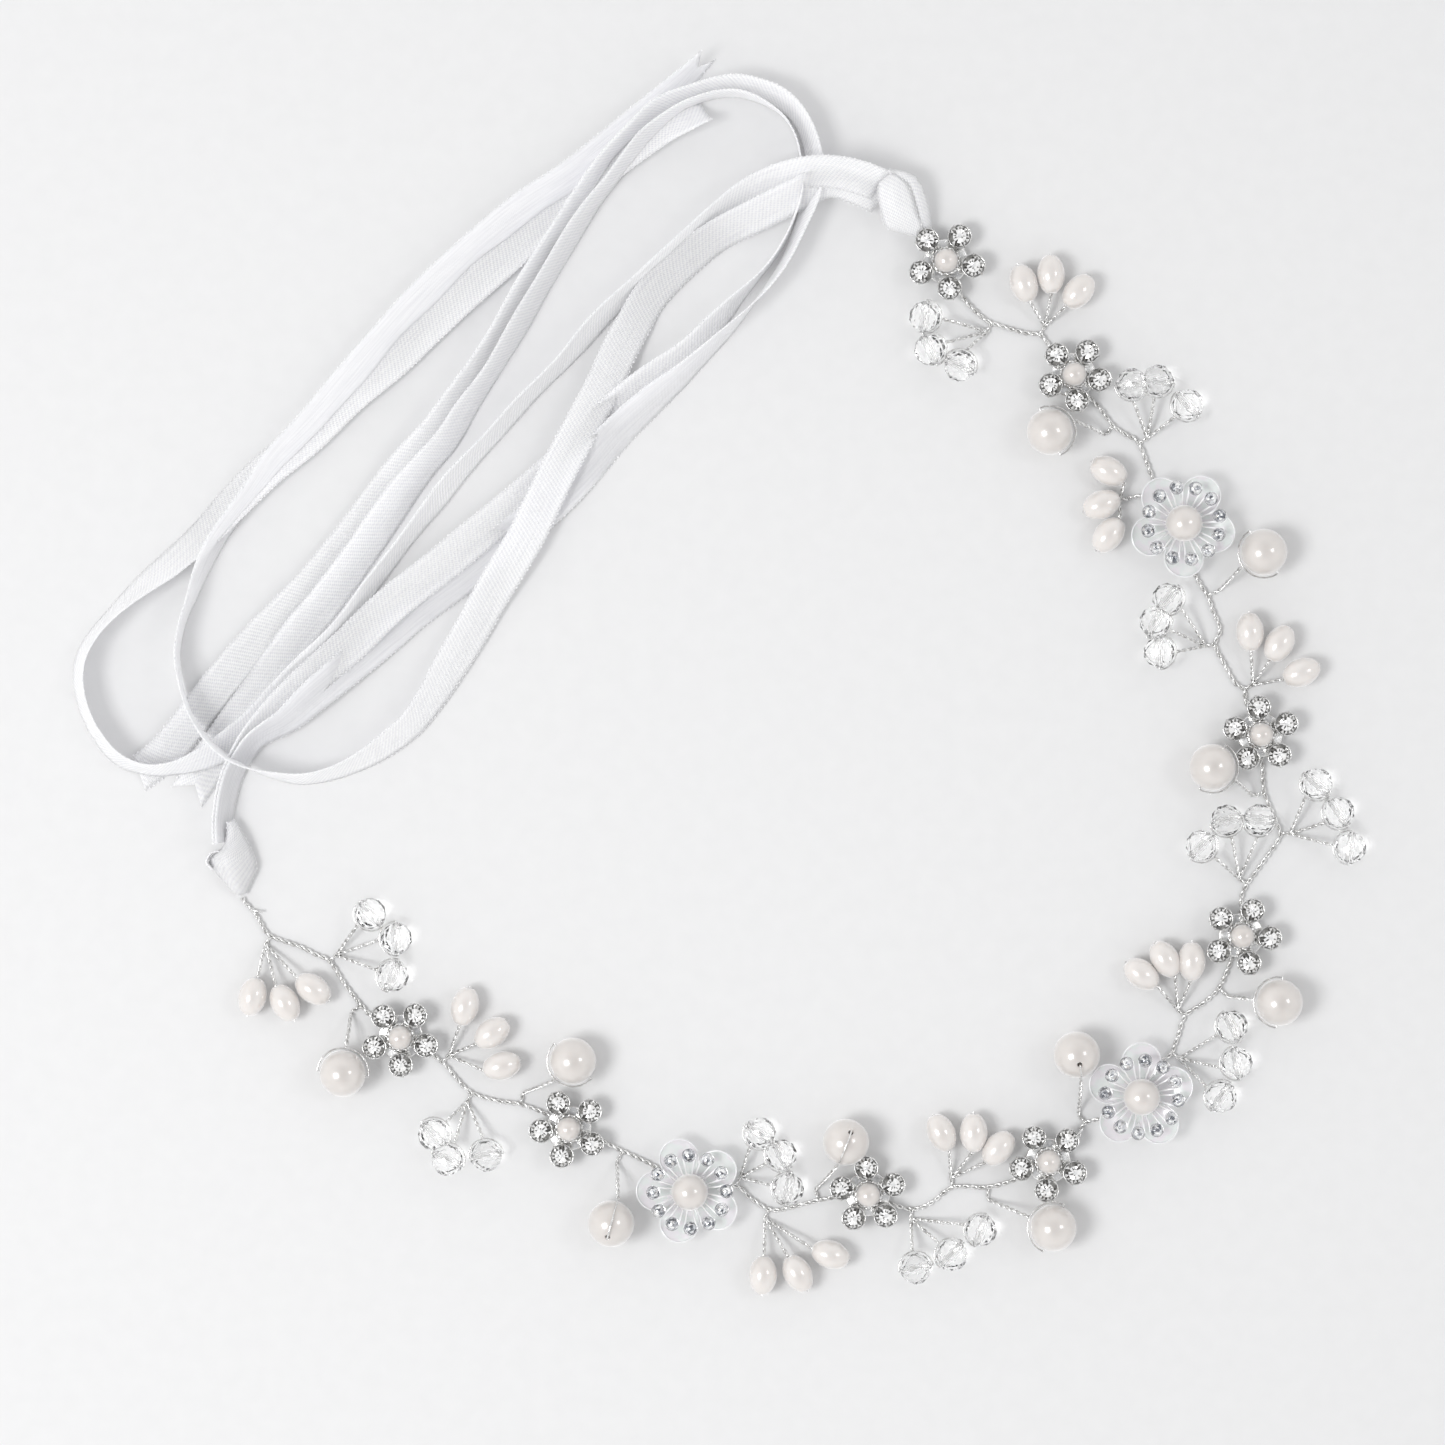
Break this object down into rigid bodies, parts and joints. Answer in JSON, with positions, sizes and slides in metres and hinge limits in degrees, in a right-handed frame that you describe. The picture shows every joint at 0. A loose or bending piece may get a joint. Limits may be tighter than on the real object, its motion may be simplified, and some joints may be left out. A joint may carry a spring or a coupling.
{
  "type": "flower crown",
  "caption": "Bendable silver wire vine with pearl and crystal sprays, rhinestone and sequin flowers, and long satin ribbon tails knotted at both ends.",
  "frame": {"origin": "middle of the footprint of the wire part, on the surface it lies on", "axes": "+X to the right and +Y up as the crown is seen from above, +Z away from the surface it lies on"},
  "size_m": [0.2239, 0.2152, 0.0096],
  "materials": {
    "silver_wire": "bright silver plate on thin twisted wire",
    "pearl": "soft warm white pearl coating",
    "rice_pearl": "soft warm white pearl coating, on silver wire stems",
    "crystal": "clear faceted beads, on silver wire stems",
    "rhinestone": "foil-backed clear stones in silver settings round a small pearl",
    "sequin": "thin pearly translucent petals with a bright rim",
    "stamen": "clear stamens with silver-lined glitter tips round a pearl",
    "ribbon": "pale silver-white satin ribbon with a dotted selvedge"
  },
  "bodies": {
    "wire_frame": {"vine_wire": "silver_wire", "rhinestone_flower_1": "rhinestone", "rhinestone_flower_2": "rhinestone", "rhinestone_flower_3": "rhinestone", "rhinestone_flower_4": "rhinestone", "rhinestone_flower_5": "rhinestone", "rhinestone_flower_6": "rhinestone", "rhinestone_flower_7": "rhinestone", "rhinestone_flower_8": "rhinestone", "sequin_petals_1": "sequin", "sequin_petals_2": "sequin", "sequin_petals_3": "sequin", "stamen_heart_1": "stamen", "stamen_heart_2": "stamen", "stamen_heart_3": "stamen", "right_ribbon_tail_outer": "ribbon", "right_ribbon_tail_inner": "ribbon", "left_ribbon_tail_inner": "ribbon", "left_ribbon_tail_outer": "ribbon", "right_ribbon_knot": "ribbon", "left_ribbon_knot": "ribbon"},
    "rice_pearl_spray_1": {"rice_pearl_spray_1": "rice_pearl"},
    "rice_pearl_spray_2": {"rice_pearl_spray_2": "rice_pearl"},
    "rice_pearl_spray_3": {"rice_pearl_spray_3": "rice_pearl"},
    "rice_pearl_spray_4": {"rice_pearl_spray_4": "rice_pearl"},
    "rice_pearl_spray_5": {"rice_pearl_spray_5": "rice_pearl"},
    "rice_pearl_spray_6": {"rice_pearl_spray_6": "rice_pearl"},
    "rice_pearl_spray_7": {"rice_pearl_spray_7": "rice_pearl"},
    "rice_pearl_spray_8": {"rice_pearl_spray_8": "rice_pearl"},
    "crystal_spray_1": {"crystal_spray_1": "crystal"},
    "crystal_spray_2": {"crystal_spray_2": "crystal"},
    "crystal_spray_3": {"crystal_spray_3": "crystal"},
    "crystal_spray_4": {"crystal_spray_4": "crystal"},
    "crystal_spray_5": {"crystal_spray_5": "crystal"},
    "crystal_spray_6": {"crystal_spray_6": "crystal"},
    "crystal_spray_7": {"crystal_spray_7": "crystal"},
    "crystal_spray_8": {"crystal_spray_8": "crystal"},
    "crystal_spray_9": {"crystal_spray_9": "crystal"},
    "crystal_spray_10": {"crystal_spray_10": "crystal"},
    "pearl_stem_1": {"pearl_stem_1": "silver_wire"},
    "round_pearl_1": {"round_pearl_1": "pearl"},
    "pearl_stem_2": {"pearl_stem_2": "silver_wire"},
    "round_pearl_2": {"round_pearl_2": "pearl"},
    "pearl_stem_3": {"pearl_stem_3": "silver_wire"},
    "round_pearl_3": {"round_pearl_3": "pearl"},
    "pearl_stem_4": {"pearl_stem_4": "silver_wire"},
    "round_pearl_4": {"round_pearl_4": "pearl"},
    "pearl_stem_5": {"pearl_stem_5": "silver_wire"},
    "round_pearl_5": {"round_pearl_5": "pearl"},
    "pearl_stem_6": {"pearl_stem_6": "silver_wire"},
    "round_pearl_6": {"round_pearl_6": "pearl"},
    "pearl_stem_7": {"pearl_stem_7": "silver_wire"},
    "round_pearl_7": {"round_pearl_7": "pearl"},
    "pearl_stem_8": {"pearl_stem_8": "silver_wire"},
    "round_pearl_8": {"round_pearl_8": "pearl"},
    "pearl_stem_9": {"pearl_stem_9": "silver_wire"},
    "round_pearl_9": {"round_pearl_9": "pearl"},
    "pearl_stem_10": {"pearl_stem_10": "silver_wire"},
    "round_pearl_10": {"round_pearl_10": "pearl"}
  },
  "joints": [
    {"name": "rice_pearl_spray_1_fold", "type": "hinge", "parent": "wire_frame", "child": "rice_pearl_spray_1", "pos_m": [0.04133, 0.07389, 0.00039], "axis": [0.981, -0.194, 0], "range_deg": [0, 45]},
    {"name": "rice_pearl_spray_2_fold", "type": "hinge", "parent": "wire_frame", "child": "rice_pearl_spray_2", "pos_m": [0.05673, 0.04549, 0.00039], "axis": [-0.2444, 0.9697, 0], "range_deg": [0, 20]},
    {"name": "rice_pearl_spray_3_fold", "type": "hinge", "parent": "wire_frame", "child": "rice_pearl_spray_3", "pos_m": [0.07683, 0.01219, 0.00039], "axis": [0.7936, -0.6084, 0], "range_deg": [0, 45]},
    {"name": "rice_pearl_spray_4_fold", "type": "hinge", "parent": "wire_frame", "child": "rice_pearl_spray_4", "pos_m": [0.06653, -0.04451, 0.00039], "axis": [0.9308, 0.3654, 0], "range_deg": [0, 45]},
    {"name": "rice_pearl_spray_5_fold", "type": "hinge", "parent": "wire_frame", "child": "rice_pearl_spray_5", "pos_m": [0.02623, -0.07431, 0.00039], "axis": [0.9476, -0.3195, 0], "range_deg": [0, 45]},
    {"name": "rice_pearl_spray_6_fold", "type": "hinge", "parent": "wire_frame", "child": "rice_pearl_spray_6", "pos_m": [-0.00597, -0.07811, 0.00039], "axis": [-0.8926, -0.4508, 0], "range_deg": [0, 45]},
    {"name": "rice_pearl_spray_7_fold", "type": "hinge", "parent": "wire_frame", "child": "rice_pearl_spray_7", "pos_m": [-0.06257, -0.05261, 0.00039], "axis": [0.5395, -0.842, 0], "range_deg": [0, 45]},
    {"name": "rice_pearl_spray_8_fold", "type": "hinge", "parent": "wire_frame", "child": "rice_pearl_spray_8", "pos_m": [-0.09247, -0.03061, 0.00039], "axis": [-0.9727, -0.2322, 0], "range_deg": [0, 45]},
    {"name": "crystal_spray_1_fold", "type": "hinge", "parent": "wire_frame", "child": "crystal_spray_1", "pos_m": [0.03283, 0.07599, 0.00039], "axis": [-0.3872, 0.922, 0], "range_deg": [0, 45]},
    {"name": "crystal_spray_2_fold", "type": "hinge", "parent": "wire_frame", "child": "crystal_spray_2", "pos_m": [0.05853, 0.05499, 0.00039], "axis": [0.9434, -0.3316, 0], "range_deg": [0, 45]},
    {"name": "crystal_spray_3_fold", "type": "hinge", "parent": "wire_frame", "child": "crystal_spray_3", "pos_m": [0.07173, 0.01999, 0.00039], "axis": [0.3441, 0.9389, 0], "range_deg": [0, 45]},
    {"name": "crystal_spray_4_fold", "type": "hinge", "parent": "wire_frame", "child": "crystal_spray_4", "pos_m": [0.08313, -0.01291, 0.00039], "axis": [0.3496, -0.9369, 0], "range_deg": [0, 45]},
    {"name": "crystal_spray_5_fold", "type": "hinge", "parent": "wire_frame", "child": "crystal_spray_5", "pos_m": [0.07733, -0.02161, 0.00039], "axis": [0.9424, 0.3345, 0], "range_deg": [0, 45]},
    {"name": "crystal_spray_6_fold", "type": "hinge", "parent": "wire_frame", "child": "crystal_spray_6", "pos_m": [0.06413, -0.05101, 0.00039], "axis": [-0.133, -0.9911, 0], "range_deg": [0, 20]},
    {"name": "crystal_spray_7_fold", "type": "hinge", "parent": "wire_frame", "child": "crystal_spray_7", "pos_m": [0.01893, -0.07811, 0.00039], "axis": [-0.7327, -0.6806, 0], "range_deg": [0, 45]},
    {"name": "crystal_spray_8_fold", "type": "hinge", "parent": "wire_frame", "child": "crystal_spray_8", "pos_m": [-0.01137, -0.07411, 0.00039], "axis": [0.5886, -0.8084, 0], "range_deg": [0, 25]},
    {"name": "crystal_spray_9_fold", "type": "hinge", "parent": "wire_frame", "child": "crystal_spray_9", "pos_m": [-0.05747, -0.05791, 0.00039], "axis": [-0.9642, 0.2651, 0], "range_deg": [0, 45]},
    {"name": "crystal_spray_10_fold", "type": "hinge", "parent": "wire_frame", "child": "crystal_spray_10", "pos_m": [-0.08217, -0.03501, 0.00039], "axis": [0.3162, -0.9487, 0], "range_deg": [0, 45]},
    {"name": "pearl_stem_1_fold", "type": "hinge", "parent": "wire_frame", "child": "pearl_stem_1", "pos_m": [0.05403, 0.05809, 0.00039], "axis": [0.0836, 0.9965, 0], "range_deg": [0, 45]},
    {"name": "round_pearl_1_spin", "type": "hinge", "parent": "pearl_stem_1", "child": "round_pearl_1", "pos_m": [0.04273, 0.05679, 0.0046], "axis": [-0.4067, 0.9135, 0], "continuous": true},
    {"name": "pearl_stem_2_fold", "type": "hinge", "parent": "wire_frame", "child": "pearl_stem_2", "pos_m": [0.07043, 0.02849, 0.00039], "axis": [0.6689, -0.7433, 0], "range_deg": [0, 45]},
    {"name": "round_pearl_2_spin", "type": "hinge", "parent": "pearl_stem_2", "child": "round_pearl_2", "pos_m": [0.07973, 0.03599, 0.0046], "axis": [0.5592, -0.829, 0], "continuous": true},
    {"name": "pearl_stem_3_fold", "type": "hinge", "parent": "wire_frame", "child": "pearl_stem_3", "pos_m": [0.08033, -0.00571, 0.00039], "axis": [0.3567, 0.9342, 0], "range_deg": [0, 45]},
    {"name": "round_pearl_3_spin", "type": "hinge", "parent": "pearl_stem_3", "child": "round_pearl_3", "pos_m": [0.07083, -0.00121, 0.0046], "axis": [0.515, 0.8572, 0], "continuous": true},
    {"name": "pearl_stem_4_fold", "type": "hinge", "parent": "wire_frame", "child": "pearl_stem_4", "pos_m": [0.07233, -0.03981, 0.00039], "axis": [-0.2692, -0.9631, 0], "range_deg": [0, 45]},
    {"name": "round_pearl_4_spin", "type": "hinge", "parent": "pearl_stem_4", "child": "round_pearl_4", "pos_m": [0.08243, -0.04191, 0.0046], "axis": [-0.1219, -0.9925, 0], "continuous": true},
    {"name": "pearl_stem_5_fold", "type": "hinge", "parent": "wire_frame", "child": "pearl_stem_5", "pos_m": [0.04913, -0.06321, 0.00039], "axis": [0.9905, 0.1378, 0], "range_deg": [0, 45]},
    {"name": "round_pearl_5_spin", "type": "hinge", "parent": "pearl_stem_5", "child": "round_pearl_5", "pos_m": [0.04733, -0.05091, 0.005], "axis": [0.0586, -0.37, 0.9272], "continuous": true},
    {"name": "pearl_stem_6_fold", "type": "hinge", "parent": "wire_frame", "child": "pearl_stem_6", "pos_m": [0.03213, -0.07431, 0.00039], "axis": [-0.5608, -0.828, 0], "range_deg": [0, 45]},
    {"name": "round_pearl_6_spin", "type": "hinge", "parent": "pearl_stem_6", "child": "round_pearl_6", "pos_m": [0.04333, -0.08091, 0.0046], "axis": [-0.4067, -0.9135, 0], "continuous": true},
    {"name": "pearl_stem_7_fold", "type": "hinge", "parent": "wire_frame", "child": "pearl_stem_7", "pos_m": [0.00273, -0.07661, 0.00039], "axis": [0.8999, -0.4362, 0], "range_deg": [0, 45]},
    {"name": "round_pearl_7_spin", "type": "hinge", "parent": "pearl_stem_7", "child": "round_pearl_7", "pos_m": [0.00743, -0.06601, 0.005], "axis": [0.1952, 0.5085, 0.8387], "continuous": true},
    {"name": "pearl_stem_8_fold", "type": "hinge", "parent": "wire_frame", "child": "pearl_stem_8", "pos_m": [-0.03127, -0.06801, 0.00039], "axis": [-0.9958, 0.0912, 0], "range_deg": [0, 45]},
    {"name": "round_pearl_8_spin", "type": "hinge", "parent": "pearl_stem_8", "child": "round_pearl_8", "pos_m": [-0.03317, -0.08011, 0.005], "axis": [-0.1333, -0.4975, 0.8572], "continuous": true},
    {"name": "pearl_stem_9_fold", "type": "hinge", "parent": "wire_frame", "child": "pearl_stem_9", "pos_m": [-0.04897, -0.05991, 0.00039], "axis": [0.5981, -0.8014, 0], "range_deg": [0, 45]},
    {"name": "round_pearl_9_spin", "type": "hinge", "parent": "pearl_stem_9", "child": "round_pearl_9", "pos_m": [-0.03977, -0.05201, 0.0046], "axis": [0.7314, -0.682, 0], "continuous": true},
    {"name": "pearl_stem_10_fold", "type": "hinge", "parent": "wire_frame", "child": "pearl_stem_10", "pos_m": [-0.07677, -0.04261, 0.00039], "axis": [-0.9525, 0.3046, 0], "range_deg": [0, 45]},
    {"name": "round_pearl_10_spin", "type": "hinge", "parent": "pearl_stem_10", "child": "round_pearl_10", "pos_m": [-0.07957, -0.05421, 0.0046], "axis": [-0.9925, 0.1219, 0], "continuous": true}
  ]
}
